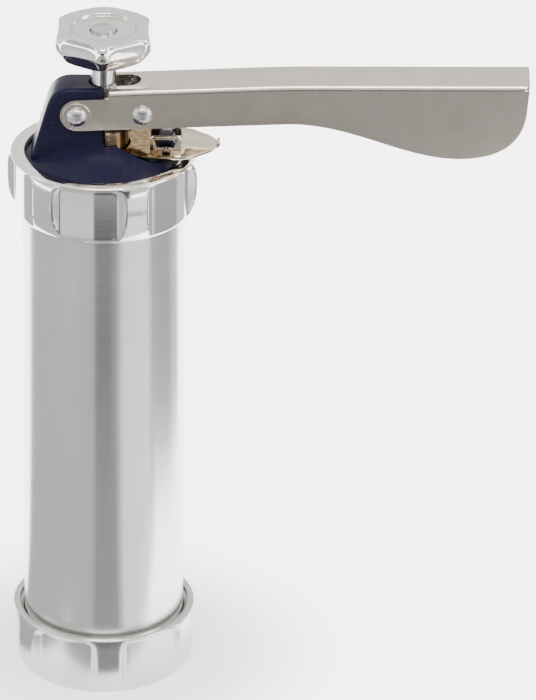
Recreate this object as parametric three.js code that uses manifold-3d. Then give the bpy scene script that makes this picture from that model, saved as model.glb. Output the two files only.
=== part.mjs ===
// Lever-operated hand food press: a barrel with a screwed collar at each end, a domed head with a
// pivoted lever, a toothed push rod with a pull knob, a piston and a patterned outlet disc.
// Millimetres, +Z up. The origin is on the barrel's axis at the base plane, and +X runs along the lever.
import * as THREE from "three";
import { mergeVertices } from "three/addons/utils/BufferGeometryUtils.js";
import Module from "manifold-3d";

const wasm = await Module();
wasm.setup();

// ---------- driving dimensions ----------
// clearances
const seatGap = 0.3; // between pieces that rest on each other
const runGap = 0.3; // round a turning or sliding piece
const washerGap = 0.15; // either side of a thin washer or spacer

// barrel
const tubeRadius = 24;
const tubeWall = 1.5;
const tubeLength = 161;

// outlet disc
const discThickness = 1.3;
const discRimWidth = 4; // flat rim that the tube end presses on
const discDrop = 2.3; // how far the patterned middle is pressed down below the rim
const hubRadius = 3.6;
const petalCount = 4;
const petalLength = 11;
const petalWidth = 7.4;
const petalHubGap = 1.1;

// collars
const collarWall = 4.3; // over the lands, at the widest
const collarHeight = 19;
const collarLipHeight = 2;
const headLipWidth = 0.96; // how far the top collar's lip reaches in over the head's flange
const topEdgeInset = 1.2; // land radius lost at the wide end's rim
const narrowEdgeInset = 3.3; // land radius lost at the narrow end's rim
const mouthWidening = 1; // open mouth of the bottom collar round the tube
const mouthDepth = 1.6;
const fluteCount = 6;
const fluteDepth = 2.4;
const fluteFloorAngle = 38;
const fluteSplay = 45; // lean of a flute's side walls from its floor's radius, in degrees
const fluteRim = 0.8; // whole rim left over the flutes' upper ends
const topFluteTurn = -98.5; // azimuth of one flute of the top collar
const bottomFluteTurn = -115.5;

// piston
const pistonLift = 0.8; // height of the piston over the outlet disc when it is fully down
const pistonHeight = 8.4;
const pistonBase = 3;
const pistonSkirt = 1.8;
const pistonHubWall = 4;
const pistonRecess = 2.4;
const journalRadius = 2.7;
const journalLength = 2.4;
const screwRadius = 1.6;
const screwHeadRadius = 4;
const screwHeadHeight = 1;
const screwLength = 8;
const pistonWasherRadius = 5.6;
const pistonWasherThickness = 0.8;

// push rod and knob
const rodRadius = 3.7;
const rodStandOut = 17.4; // rod over the tower's top with the piston fully down
const toothPitch = 4;
const toothDepth = 1.1;
const toothlessFoot = 12; // plain length over the piston
const knobHeight = 10.4;
const knobRadius = 15.8;
const knobFootRadius = 8.5;
const knobFootAcross = 9.6; // corner radius of the six-sided shape at the foot
const knobWaistAcross = 16.7; // at the crease between the two rows of facets
const knobTopAcross = 14; // at the top
const knobCrease = 5.8; // height of that crease over the foot
const knobDishRadius = 9.3;
const knobDishDepth = 1.2;
const rodSink = 0.5; // rod end below the knob's top

// head
const flangeHeight = 1.6;
const rimRadiusInset = 0.44; // between the head's rim and the collar's lip
const rimHeight = 2;
const bevelWidth = 2.1;
const bevelRise = 0.8;
const crownHeight = 8.9; // dome over the flange's underside
const spigotLength = 6;
const spigotWall = 2;
const bossRadius = 9.5;
const bossLength = 7;
const deckRoof = 1.5; // underside of the dome next to the boss
const bushWall = 2.2;
const bushFlange = 1.6;
const bushFlangeHeight = 1.2;
const bushTop = 0.7;
const towerHalfWidth = 6;
const towerHeight = 25.7;
const towerFootX = -21.7;
const towerShoulderX = -14.9;
const towerFaceX = 0.5; // the face beside the rod
const towerCorner = 6;
const towerFaceCorner = 2;
const towerEdge = 1.5;
const shoeWall = 3.4; // half sleeve that backs the rod
const shoeFoot = 3;
const shoeTop = 12.2;

// lever
const pivotX = -7.7;
const pivotHeight = 17.95; // over the flange's underside
const pivotRadius = 2;
const sheet = 1.2;
const bendRadius = 2;
const armEndRadius = 4.9;
const armSlope = 0.047; // rise of the lower edge per unit of length
const armTopRise = 5; // top of the arms over the pivot
const webStartX = 10; // distances below are from the pivot, along +X
const webTopRise = 8.05;
const webSlope = 0.05;
const webBreakX = 60.7;
const webFlatSlope = 0.01;
const webBlend = 8;
const gripStartX = 61.7;
const gripLowX = 111.5;
const gripLowDrop = 12.6; // lowest point of the grip under the pivot
const leverEndX = 131.6;
const leverEndTopX = 132.4;
const slotEndX = 18.7;
const rivetHeadRadius = 2.9;
const rivetHeadHeight = 1.4;
const pivotWasherRadius = 4.1;
const pivotWasherThickness = 0.4;

// pawl, on a rivet through the lever
const pawlX = 19.1;
const pawlRise = 0.5;
const pawlRivetRadius = 1.8;
const pawlHub = 3.2;
const pawlHalfWidth = 3.2;
const pawlReach = 7.2;
const pawlTipRadius = 0.5;
const pawlDroop = 12; // degrees below level
const spacerRadius = 2.6;
const wire = 0.5; // spring wire diameter

// catch plate, a rocker on a pin through a lug of the head
const catchPinX = 18.5;
const catchPinRadius = 0.9;
const plateThickness = 1;
const plateOverCollar = 1.45;
const pinOverPlate = 0.25; // pin centre over the plate's top face
const plateHalfWidth = 10.4;
const hornX = 4.9;
const hornHalfWidth = 6.7;
const shoulderX = 24.6;
const tipX = 34.3;
const tipHalfWidth = 3.4;
const tipCurl = 0.85;
const earFrontX = 13.6;
const earBackX = 23;
const earHeight = 5; // over the plate's top face
const windowSill = 1.5;
const windowRail = 0.6;
const windowPost = 1.2;
const windowTaper = 0.9;
const lugHalfLength = 2.1;
const lugHalfWidth = 3.9;
const lugHeight = 2.3; // over the plate's top face
const plateSwing = 1.3; // room for the plate's inner end as it dips

// ---------- derived places ----------
const boreRadius = tubeRadius - tubeWall;
const collarBore = tubeRadius + runGap;
const collarRadius = collarBore + collarWall;
const discRimTop = discDrop + discThickness;
const tubeBase = discRimTop + seatGap + 0.1;
const tubeTop = tubeBase + tubeLength;
const seat = tubeTop + seatGap;
const lipUnderside = flangeHeight + seatGap;
const collarTop = lipUnderside + collarLipHeight; // over the seat
const lipRadius = collarBore - headLipWidth;
const rimRadius = lipRadius - rimRadiusInset;
const rodHole = rodRadius + runGap;
const shoeRadius = rodHole + shoeWall;
const bushRadius = rodHole + bushWall;
const armInner = towerHalfWidth + runGap;
const armOuter = armInner + sheet;
const plateUnder = collarTop + plateOverCollar;
const plateTop = plateUnder + plateThickness;
const catchPinHeight = plateTop + pinOverPlate;
const earInner = armOuter - plateThickness;
const pistonFloor = discRimTop + pistonLift;
const rodTopHeight = seat + towerHeight + rodStandOut;
const knobFoot = rodTopHeight + rodSink - knobHeight;

// ---------- shape helpers ----------
const TAU = Math.PI * 2;
const DEG = Math.PI / 180;
const v2 = (x, y) => new THREE.Vector2(x, y);
const v3 = (x, y, z) => new THREE.Vector3(x, y, z);

// A closed three.js geometry as a manifold solid.
function solid(geometry) {
  const plain = geometry.index ? geometry.toNonIndexed() : geometry.clone();
  plain.deleteAttribute("normal");
  plain.deleteAttribute("uv");
  const merged = mergeVertices(plain, 1e-4);
  const mesh = new wasm.Mesh({
    numProp: 3,
    vertProperties: merged.attributes.position.array,
    triVerts: new Uint32Array(merged.index.array),
  });
  return new wasm.Manifold(mesh);
}

// Turned about Z: the profile is [radius, height] pairs, closed on itself or ending on the axis.
function turned(profile, segments = 48) {
  const points = profile.map(([r, z]) => v2(r, z));
  const onAxis = profile[0][0] === 0 && profile.at(-1)[0] === 0;
  if (THREE.ShapeUtils.area(points) < 0) points.reverse();
  if (!onAxis) points.push(points[0].clone());
  return solid(new THREE.LatheGeometry(points, segments).rotateX(Math.PI / 2));
}

// A round bar along Y.
function crossBar(radius, halfLength, segments = 20) {
  return solid(new THREE.CylinderGeometry(radius, radius, 2 * halfLength, segments));
}

// A round bar along Z, from bottom to top.
function bar(radius, bottom, top, segments = 32) {
  const shape = new THREE.CylinderGeometry(radius, radius, top - bottom, segments);
  return solid(shape.rotateX(Math.PI / 2).translate(0, 0, (bottom + top) / 2));
}

function box(x0, x1, y0, y1, z0, z1) {
  const shape = new THREE.BoxGeometry(x1 - x0, y1 - y0, z1 - z0);
  return solid(shape.translate((x0 + x1) / 2, (y0 + y1) / 2, (z0 + z1) / 2));
}

// An outline drawn in plan, extruded upwards.
function upright(shape, bottom, top, curveSegments = 12) {
  const options = { depth: top - bottom, bevelEnabled: false, curveSegments };
  const made = new THREE.ExtrudeGeometry(shape, options);
  return solid(made.translate(0, 0, bottom));
}

// An outline drawn in side view (x, z), extruded across from -halfWidth to halfWidth.
function across(shape, halfWidth, bevel = 0, curveSegments = 12) {
  const options = {
    depth: 2 * (halfWidth - bevel),
    bevelEnabled: bevel > 0,
    bevelThickness: bevel,
    bevelSize: bevel,
    bevelOffset: -bevel,
    bevelSegments: 2,
    curveSegments,
  };
  const made = new THREE.ExtrudeGeometry(shape, options);
  return solid(made.rotateX(Math.PI / 2).translate(0, halfWidth - bevel, 0));
}

function ring(inner, outer, bottom, top, segments = 32) {
  return turned([[inner, bottom], [outer, bottom], [outer, top], [inner, top]], segments);
}

// Wire of round section along a curve.
function wireAlong(points, steps) {
  const section = new THREE.Shape();
  section.absarc(0, 0, wire / 2, 0, TAU);
  const path = new THREE.CatmullRomCurve3(points);
  return solid(new THREE.ExtrudeGeometry(section, { steps, extrudePath: path, curveSegments: 3 }));
}

// Torsion spring round an axis along Y: a coil from one angle on, with a straight leg at each end.
function torsionSpring(radius, startAngle, sweep, yStart, yEnd, legStart, legEnd) {
  const coil = [];
  const points = Math.round(sweep / 30);
  for (let i = 0; i <= points; i++) {
    const a = (startAngle + (sweep * i) / points) * DEG;
    const y = yStart + ((yEnd - yStart) * i) / points;
    coil.push(v3(radius * Math.cos(a), y, radius * Math.sin(a)));
  }
  return wireAlong([...legStart, ...coil, ...legEnd], points + 14);
}

function material(color, roughness, metalness) {
  return new THREE.MeshStandardMaterial({ color, roughness, metalness });
}

function node(name, made, finish) {
  const out = made.getMesh();
  const geometry = new THREE.BufferGeometry();
  geometry.setAttribute("position", new THREE.BufferAttribute(out.vertProperties, 3));
  geometry.setIndex(new THREE.BufferAttribute(out.triVerts, 1));
  geometry.computeVertexNormals();
  const mesh = new THREE.Mesh(geometry, finish);
  mesh.name = name;
  return mesh;
}

function groupAt(x, y, z, ...children) {
  const group = new THREE.Group();
  group.position.set(x, y, z);
  group.add(...children);
  return group;
}

// ---------- materials ----------
const brushedAluminium = material(0xc9cacc, 0.35, 1);
const polishedAluminium = material(0xdadbdd, 0.15, 1);
const navyPlastic = material(0x262438, 0.3, 0);
const satinNickel = material(0xb9b0a5, 0.3, 1);
const brightNickel = material(0xcfc3ae, 0.15, 1);
const chrome = material(0xdcd8d2, 0.06, 1);
const steel = material(0xb4b4b2, 0.35, 1);
const bushPlastic = material(0xe8e6e0, 0.5, 0);

// ---------- barrel ----------
function barrelTube() {
  return ring(boreRadius, tubeRadius, tubeBase, tubeTop, 56);
}

// ---------- outlet disc ----------
function outletDisc() {
  const rim = tubeRadius - 0.4;
  const wallOuter = rim - discRimWidth;
  const slope = 0.7;
  const dished = turned([
    [0, 0],
    [wallOuter - slope, 0],
    [wallOuter, slope],
    [wallOuter, discDrop],
    [rim, discDrop],
    [rim, discRimTop],
    [wallOuter - discThickness, discRimTop],
    [wallOuter - slope - discThickness, discThickness],
    [0, discThickness],
  ]);
  const petal = new THREE.Shape();
  const middle = hubRadius + petalHubGap + petalLength / 2;
  petal.absellipse(middle, 0, petalLength / 2, petalWidth / 2, 0, TAU, false, 0);
  const cutter = upright(petal, -1, discThickness + 1, 8);
  let disc = dished;
  for (let i = 0; i < petalCount; i++) {
    disc = disc.subtract(cutter.rotate([0, 0, (360 / petalCount) * i]));
  }
  return disc;
}

// ---------- collars ----------
// Flutes with round floors and splayed sides, which stop short of the upper rim.
function flutes(turn) {
  const floor = collarRadius - fluteDepth;
  const half = (fluteFloorAngle / 2) * DEG;
  const lean = half + fluteSplay * DEG;
  const reach = 2 * fluteDepth;
  const edge = v2(floor * Math.cos(half), floor * Math.sin(half));
  const mouth = v2(edge.x + reach * Math.cos(lean), edge.y + reach * Math.sin(lean));
  const shape = new THREE.Shape();
  shape.absarc(0, 0, floor, -half, half, false);
  shape.lineTo(mouth.x, mouth.y);
  shape.lineTo(collarRadius + reach, mouth.y);
  shape.lineTo(collarRadius + reach, -mouth.y);
  shape.lineTo(mouth.x, -mouth.y);
  const cutter = upright(shape, -1, collarHeight - fluteRim, 6);
  let all = null;
  for (let i = 0; i < fluteCount; i++) {
    const one = cutter.rotate([0, 0, turn + (360 / fluteCount) * i]);
    all = all ? all.add(one) : one;
  }
  return all;
}

// The barrelled outside of a collar, from its narrow lower rim to its wide upper rim.
function collarOutside() {
  const widest = 0.62;
  const profile = [];
  const steps = 7;
  for (let i = 0; i <= steps; i++) {
    const t = i / steps;
    const away = t < widest ? (widest - t) / widest : (t - widest) / (1 - widest);
    const inset = t < widest ? narrowEdgeInset : topEdgeInset;
    const power = t < widest ? 3 : 2.2;
    profile.push([collarRadius - inset * away ** power, t * collarHeight]);
  }
  return profile;
}

function topCollar() {
  const lip = collarHeight - collarLipHeight;
  const inside = [[lipRadius, collarHeight], [lipRadius, lip], [collarBore, lip], [collarBore, 0]];
  return turned([...collarOutside(), ...inside]).subtract(flutes(topFluteTurn));
}

function bottomCollar() {
  const mouth = collarBore + mouthWidening;
  const lipTop = discDrop - seatGap;
  const lipInner = tubeRadius - 0.4 - discRimWidth + seatGap;
  const inside = [
    [mouth, collarHeight],
    [mouth, collarHeight - mouthDepth],
    [collarBore, collarHeight - mouthDepth - 0.6],
    [collarBore, lipTop],
    [lipInner, lipTop],
    [lipInner, 0],
  ];
  return turned([...collarOutside(), ...inside]).subtract(flutes(bottomFluteTurn));
}

// ---------- piston and push rod ----------
const hubOuter = rodHole + pistonHubWall;
const recessRadius = pistonWasherRadius + 0.6;

function pistonDisc() {
  const outer = boreRadius - runGap - 0.1;
  return turned([
    [recessRadius, 0],
    [outer - 0.8, 0],
    [outer, 0.8],
    [outer, pistonHeight],
    [outer - pistonSkirt, pistonHeight],
    [outer - pistonSkirt, pistonBase],
    [hubOuter, pistonBase],
    [hubOuter, pistonHeight],
    [rodHole, pistonHeight],
    [rodHole, pistonRecess + journalLength],
    [journalRadius + runGap, pistonRecess + journalLength],
    [journalRadius + runGap, pistonRecess],
    [recessRadius, pistonRecess],
  ], 40);
}

const rodShoulder = pistonRecess + journalLength + runGap;
const washerBottom = pistonRecess - washerGap - pistonWasherThickness;

function pistonWasher() {
  const washerTop = washerBottom + pistonWasherThickness;
  return ring(screwRadius + runGap, pistonWasherRadius, washerBottom, washerTop, 24);
}

function pistonScrew() {
  const under = washerBottom - washerGap;
  const foot = under - screwHeadHeight;
  const tip = under + screwLength;
  const slotted = turned(
    [[0, foot], [screwHeadRadius - 0.4, foot], [screwHeadRadius, foot + 0.4], [screwHeadRadius, under],
     [screwRadius, under], [screwRadius, tip - 0.6], [screwRadius - 0.6, tip], [0, tip]],
    20,
  );
  const slotHalf = 0.45;
  const slotEnd = screwHeadRadius + 1;
  return slotted.subtract(box(-slotEnd, slotEnd, -slotHalf, slotHalf, foot - 1, foot + 0.5));
}

// Saw teeth down the rod's +X side: flat below, sloping above.
function ratchetRod() {
  const top = rodTopHeight - pistonFloor;
  const screwHole = screwRadius + runGap;
  const holeTop = washerBottom + screwLength + runGap;
  const rod = turned(
    [
      [screwHole, pistonRecess],
      [journalRadius, pistonRecess],
      [journalRadius, rodShoulder],
      [rodRadius, rodShoulder],
      [rodRadius, top - 0.5],
      [rodRadius - 0.5, top],
      [0, top],
      [0, holeTop],
      [screwHole, holeTop],
    ],
    16,
  );
  const firstTooth = rodShoulder + toothlessFoot;
  const lastTooth = knobFoot - pistonFloor - 0.6;
  const notch = new THREE.Shape();
  const root = rodRadius - toothDepth;
  notch.moveTo(rodRadius + 1, 0);
  notch.lineTo(root, 0);
  notch.lineTo(root, toothPitch * 0.2);
  notch.lineTo(rodRadius + 1, toothPitch * 0.95 + toothPitch * 0.5);
  const cutter = across(notch, rodRadius + 1);
  const count = Math.floor((lastTooth - firstTooth - toothPitch) / toothPitch);
  let cut = rod;
  for (let i = 0; i < count; i++) {
    cut = cut.subtract(cutter.translate([0, 0, firstTooth + i * toothPitch]));
  }
  return cut;
}

// Six facets in two rows that meet at a crease, rounded off at the corners.
function pullKnob() {
  const round = turned([
    [0, 0],
    [knobFootRadius, 0],
    [knobFootRadius + 1.2, 0.7],
    [knobRadius - 0.9, knobCrease - 0.8],
    [knobRadius, knobCrease + 0.6],
    [knobRadius - 0.3, knobHeight - 2.4],
    [knobRadius - 2, knobHeight - 0.4],
    [knobRadius - 3, knobHeight],
    [0, knobHeight],
  ]);
  const sixSided = turned(
    [
      [0, -1],
      [knobFootAcross - 1, -1],
      [knobWaistAcross, knobCrease],
      [knobTopAcross, knobHeight + 0.2],
      [0, knobHeight + 0.2],
    ],
    6,
  );
  const dish = bar(knobDishRadius, knobHeight - knobDishDepth, knobHeight + 1);
  return round.intersect(sixSided).subtract(dish).subtract(bar(rodHole, -2, knobHeight + 1, 24));
}

// ---------- head ----------
// The plate's outline in plan: horns round the rod's shoe, wide shoulders and a narrow tip.
function plateOutline(grow) {
  const half = plateHalfWidth + grow;
  const horn = hornHalfWidth + grow;
  const shape = new THREE.Shape();
  shape.moveTo(hornX - grow, -horn);
  shape.quadraticCurveTo(0.5 * (hornX + shoulderX) - 3, -half - 0.4, shoulderX - 3, -half);
  shape.quadraticCurveTo(shoulderX + 1.2, -half + 0.1, shoulderX + 3, -half + 2.2);
  shape.lineTo(tipX + grow - 1, -tipHalfWidth - grow);
  shape.lineTo(tipX + grow - 1, tipHalfWidth + grow);
  shape.lineTo(shoulderX + 3, half - 2.2);
  shape.quadraticCurveTo(shoulderX + 1.2, half - 0.1, shoulderX - 3, half);
  shape.quadraticCurveTo(0.5 * (hornX + shoulderX) - 3, half + 0.4, hornX - grow, horn);
  return shape;
}

function towerOutline() {
  const lean = v2(towerShoulderX - towerFootX, towerHeight - rimHeight).normalize();
  const foot = rimHeight;
  const shape = new THREE.Shape();
  shape.moveTo(towerFootX, foot);
  shape.lineTo(towerShoulderX - lean.x * towerCorner, towerHeight - lean.y * towerCorner);
  shape.quadraticCurveTo(towerShoulderX, towerHeight, towerShoulderX + towerCorner, towerHeight);
  shape.lineTo(towerFaceX - towerFaceCorner, towerHeight);
  shape.quadraticCurveTo(towerFaceX, towerHeight, towerFaceX, towerHeight - towerFaceCorner);
  shape.lineTo(towerFaceX, foot);
  return shape;
}

function domeHeight(r) {
  const edge = rimRadius - bevelWidth;
  return crownHeight - (crownHeight - rimHeight - bevelRise) * (r / edge) ** 2;
}

function headHousing() {
  const spigot = boreRadius - runGap;
  const bushHole = bushRadius + runGap;
  const domeEdge = rimRadius - bevelWidth;
  const dome = [];
  const domeSteps = 4;
  for (let i = 0; i <= domeSteps; i++) {
    const r = rodHole + ((domeEdge - rodHole) * i) / domeSteps;
    dome.push([r, domeHeight(r)]);
  }
  const deck = turned([
    ...dome,
    [rimRadius, rimHeight],
    [rimRadius, flangeHeight],
    [tubeRadius, flangeHeight],
    [tubeRadius, 0],
    [spigot, 0],
    [spigot, -spigotLength],
    [spigot - spigotWall, -spigotLength],
    [spigot - spigotWall, -0.5],
    [bossRadius, deckRoof],
    [bossRadius, -bossLength],
    [bushHole, -bossLength],
    [bushHole, bushTop + seatGap],
    [rodHole, bushTop + seatGap],
  ], 40);
  const tower = across(towerOutline(), towerHalfWidth, towerEdge, 6);
  const ceiling = towerHeight + 1;
  const notchRadius = shoeRadius + runGap;
  const notch = bar(notchRadius, shoeFoot - seatGap, ceiling)
    .intersect(box(towerFaceX, notchRadius + 1, -notchRadius, notchRadius, 0, ceiling));
  const plateRoom = upright(plateOutline(0.6), plateUnder - plateSwing, ceiling);
  const lug = box(
    catchPinX - lugHalfLength, catchPinX + lugHalfLength, -lugHalfWidth, lugHalfWidth,
    rimHeight + 0.5, plateTop + lugHeight,
  );
  const pinHole = crossBar(catchPinRadius + runGap, armOuter).translate([catchPinX, 0, catchPinHeight]);
  const pivotHole = crossBar(pivotRadius + runGap, armOuter).translate([pivotX, 0, pivotHeight]);
  return deck
    .add(tower)
    .subtract(bar(rodHole, bushTop, ceiling, 24))
    .subtract(notch)
    .subtract(plateRoom)
    .add(lug)
    .subtract(pinHole)
    .subtract(pivotHole);
}

function rodBushing() {
  const foot = -bossLength - seatGap - bushFlangeHeight;
  const flange = bushRadius + bushFlange;
  const flangeTop = foot + bushFlangeHeight;
  const profile = [
    [rodHole, foot],
    [flange, foot],
    [flange, flangeTop],
    [bushRadius, flangeTop],
    [bushRadius, bushTop],
    [rodHole, bushTop],
  ];
  return turned(profile, 24);
}

function rodShoe() {
  const edge = shoeRadius + 1;
  const half = box(towerFaceX + seatGap, edge, -edge, edge, shoeFoot, shoeTop);
  return ring(rodHole, shoeRadius, shoeFoot, shoeTop, 40).intersect(half);
}

// A rivet along Y with a domed head at each end, its heads' undersides at +-under.
function rivet(shankRadius, under) {
  const domeSteps = 3;
  const dome = [];
  for (let i = 0; i <= domeSteps; i++) {
    const a = (i / domeSteps) * 90 * DEG;
    dome.push([rivetHeadRadius * Math.cos(a), under + rivetHeadHeight * Math.sin(a)]);
  }
  dome[domeSteps][0] = 0;
  const upper = [[shankRadius, under], ...dome];
  const lower = upper.map(([r, z]) => [r, -z]).reverse();
  return turned([...lower, ...upper], 16).rotate([90, 0, 0]);
}

function pivotWasher(side) {
  const inner = armOuter + washerGap;
  const washer = ring(pivotRadius + runGap, pivotWasherRadius, inner, inner + pivotWasherThickness, 24);
  return washer.rotate([side > 0 ? -90 : 90, 0, 0]);
}

// ---------- lever ----------
// Height of the web's outer face over the pivot, with a soft break between its two slopes.
function webHeight(x) {
  const past = x - webBreakX;
  const rise = webTopRise + webSlope * (webBreakX - webStartX);
  if (past < -webBlend) return rise + webSlope * past;
  if (past > webBlend) return rise + webFlatSlope * past;
  const mean = (webSlope + webFlatSlope) / 2;
  const bow = (webSlope - webFlatSlope) / (4 * webBlend);
  return rise + mean * past - bow * (past * past + webBlend * webBlend);
}

function leverSide() {
  const bottom = (x) => -armEndRadius + armSlope * x;
  const endTop = webHeight(leverEndTopX) + 1;
  const shape = new THREE.Shape();
  shape.moveTo(0, bottom(0));
  shape.lineTo(gripStartX, bottom(gripStartX));
  const gripStart = v2(gripStartX + 18.5, bottom(gripStartX) + 0.5);
  const gripEnd = v2(gripLowX - 16.3, -gripLowDrop);
  shape.bezierCurveTo(gripStart.x, gripStart.y, gripEnd.x, gripEnd.y, gripLowX, -gripLowDrop);
  shape.bezierCurveTo(gripLowX + 13.2, -gripLowDrop, leverEndX - 0.6, -gripLowDrop + 5.9, leverEndX, 3.4);
  shape.lineTo(leverEndTopX, endTop);
  shape.lineTo(webStartX, endTop);
  shape.lineTo(webStartX - 0.5, armTopRise + 0.4);
  shape.lineTo(0, armEndRadius);
  shape.absarc(0, 0, armEndRadius, Math.PI / 2, (3 * Math.PI) / 2, false);
  return shape;
}

// Folded sheet in end view: a web with two deep legs.
function channelSection(depth) {
  const shape = new THREE.Shape();
  const innerBend = bendRadius - sheet;
  shape.moveTo(-armOuter, -depth);
  shape.lineTo(-armInner, -depth);
  shape.lineTo(-armInner, -sheet - innerBend);
  shape.quadraticCurveTo(-armInner, -sheet, -armInner + innerBend, -sheet);
  shape.lineTo(armInner - innerBend, -sheet);
  shape.quadraticCurveTo(armInner, -sheet, armInner, -sheet - innerBend);
  shape.lineTo(armInner, -depth);
  shape.lineTo(armOuter, -depth);
  shape.lineTo(armOuter, -bendRadius);
  shape.absarc(armOuter - bendRadius, -bendRadius, bendRadius, 0, Math.PI / 2, false);
  shape.lineTo(-armOuter + bendRadius, 0);
  shape.absarc(-armOuter + bendRadius, -bendRadius, bendRadius, Math.PI / 2, Math.PI, false);
  return shape;
}

function leverChannel() {
  const start = -armEndRadius - 1;
  const length = leverEndTopX + 2 - start;
  const depth = webTopRise + gripLowDrop + 12;
  const options = { depth: length, steps: 28, bevelEnabled: false, curveSegments: 2 };
  const folded = new THREE.ExtrudeGeometry(channelSection(depth), options);
  // Stand the section across the lever, then let it follow the web's slope.
  folded.rotateX(Math.PI / 2).rotateZ(Math.PI / 2).translate(start, 0, 0);
  const at = folded.attributes.position;
  for (let i = 0; i < at.count; i++) at.setZ(i, at.getZ(i) + webHeight(at.getX(i)));
  const slot = new THREE.Shape();
  const slotHalf = rodHole;
  slot.moveTo(start, -slotHalf);
  slot.lineTo(slotEndX - slotHalf, -slotHalf);
  slot.absarc(slotEndX - slotHalf, 0, slotHalf, -Math.PI / 2, Math.PI / 2, false);
  slot.lineTo(start, slotHalf);
  return solid(folded)
    .intersect(across(leverSide(), armOuter + 1, 0, 14))
    .subtract(upright(slot, armEndRadius, webTopRise + 6, 6))
    .subtract(crossBar(pivotRadius + runGap, armOuter + 2))
    .subtract(crossBar(pawlRivetRadius + runGap, armOuter + 2).translate([pawlX, 0, pawlRise]));
}

// ---------- pawl ----------
function drivePawl() {
  const tip = v2(-pawlReach + pawlTipRadius, 0);
  const a = Math.acos((pawlHub - pawlTipRadius) / (pawlReach - pawlTipRadius));
  const shape = new THREE.Shape();
  shape.absarc(0, 0, pawlHub, -Math.PI + a, Math.PI - a, false);
  shape.absarc(tip.x, tip.y, pawlTipRadius, Math.PI - a, Math.PI + a, false);
  return across(shape, pawlHalfWidth, 0, 8)
    .subtract(crossBar(pawlRivetRadius + runGap, pawlHalfWidth + 1))
    .rotate([0, -pawlDroop, 0]);
}

function pawlSpacer(side) {
  const near = pawlHalfWidth + washerGap;
  const far = armInner - washerGap;
  return ring(pawlRivetRadius + runGap, spacerRadius, near, far, 20).rotate([side > 0 ? -90 : 90, 0, 0]);
}

// One leg stands under the lever's web, and the other reaches over the pawl's nose.
function pawlSpring() {
  const radius = spacerRadius + runGap + wire / 2;
  const inner = pawlHalfWidth + washerGap + wire / 2;
  const outer = armInner - wire;
  const hookX = -pawlReach + 2.2;
  const webUnder = webHeight(pawlX - radius) - pawlRise - sheet - seatGap - wire;
  const legStart = [v3(-radius, outer, webUnder), v3(-radius, outer, webUnder / 2)];
  const hook = [v3(hookX, inner, 1.2), v3(hookX - 0.3, inner - 1, 1), v3(hookX - 0.3, 0, 1)];
  const legEnd = [v3(-2.4, inner, 2.6), ...hook];
  return torsionSpring(radius, 180, 990, outer, inner, legStart, legEnd);
}

// ---------- catch plate ----------
function catchPlate() {
  const bottom = -pinOverPlate - plateThickness;
  const top = -pinOverPlate;
  const leaf = upright(plateOutline(0), bottom, top, 10).translate([-catchPinX, 0, 0]);
  const shoeRoom = bar(shoeRadius + 0.6, bottom - 1, top + 1).translate([-catchPinX, 0, 0]);
  const front = earFrontX - catchPinX;
  const back = earBackX - catchPinX;
  const opening = box(front + 0.3, back - 0.3, -earInner, earInner, bottom - 1, top + 1);
  const curl = new THREE.Shape();
  const curlX = tipX - catchPinX;
  curl.moveTo(curlX - 2, bottom);
  curl.quadraticCurveTo(curlX, bottom, curlX, bottom + 1);
  curl.lineTo(curlX, top + tipCurl);
  curl.lineTo(curlX - plateThickness, top + tipCurl);
  curl.lineTo(curlX - plateThickness, top);
  curl.lineTo(curlX - 2, top);
  const ear = new THREE.Shape();
  const earTop = top + earHeight;
  ear.moveTo(front, bottom);
  ear.lineTo(back, bottom);
  ear.lineTo(back - 0.3, earTop - 0.6);
  ear.lineTo(back - 0.9, earTop);
  ear.lineTo(front + 0.9, earTop);
  ear.lineTo(front + 0.3, earTop - 0.6);
  const window = new THREE.Path();
  const sill = top + windowSill;
  const rail = earTop - windowRail;
  window.moveTo(front + windowPost, rail);
  window.lineTo(front + windowPost + windowTaper, sill);
  window.lineTo(back - windowPost - windowTaper, sill);
  window.lineTo(back - windowPost, rail);
  ear.holes.push(window);
  const between = box(front - 1, back + 1, -earInner, earInner, bottom - 1, earTop + 1);
  const ears = across(ear, armOuter).subtract(between);
  return leaf
    .subtract(shoeRoom)
    .subtract(opening)
    .add(across(curl, tipHalfWidth, 0, 4))
    .add(ears)
    .subtract(crossBar(catchPinRadius + runGap, armOuter + 1));
}

function catchPin() {
  const half = armOuter + 0.4;
  const radius = catchPinRadius;
  const chamfer = 0.3;
  const profile = [
    [0, -half],
    [radius - chamfer, -half],
    [radius, -half + chamfer],
    [radius, half - chamfer],
    [radius - chamfer, half],
    [0, half],
  ];
  return turned(profile, 16).rotate([90, 0, 0]);
}

// One leg lies under the plate's inner end, and the other on the deck.
function catchSpring() {
  const radius = catchPinRadius + runGap + wire / 2;
  const inner = lugHalfWidth + wire;
  const outer = earInner - wire;
  const under = -pinOverPlate - plateThickness - seatGap - wire / 2;
  const legStart = [v3(earFrontX - catchPinX - 1.2, outer, under), v3(-3, outer, under)];
  const footX = 2.8;
  const deck = Math.min(domeHeight(Math.hypot(catchPinX + footX, inner)), plateUnder - plateSwing);
  const foot = deck - catchPinHeight + seatGap + wire / 2;
  const legEnd = [v3(radius + 0.3, inner, -1.2), v3(footX, inner, foot)];
  return torsionSpring(radius, 270, 810, outer, inner, legStart, legEnd);
}

// ---------- assembly ----------
const group = new THREE.Group();

group.add(node("barrel_tube", barrelTube(), brushedAluminium));

group.add(node("outlet_disc", outletDisc(), brushedAluminium));
group.add(node("bottom_collar", bottomCollar(), polishedAluminium));
group.add(groupAt(0, 0, seat + collarTop - collarHeight, node("top_collar", topCollar(), polishedAluminium)));

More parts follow.
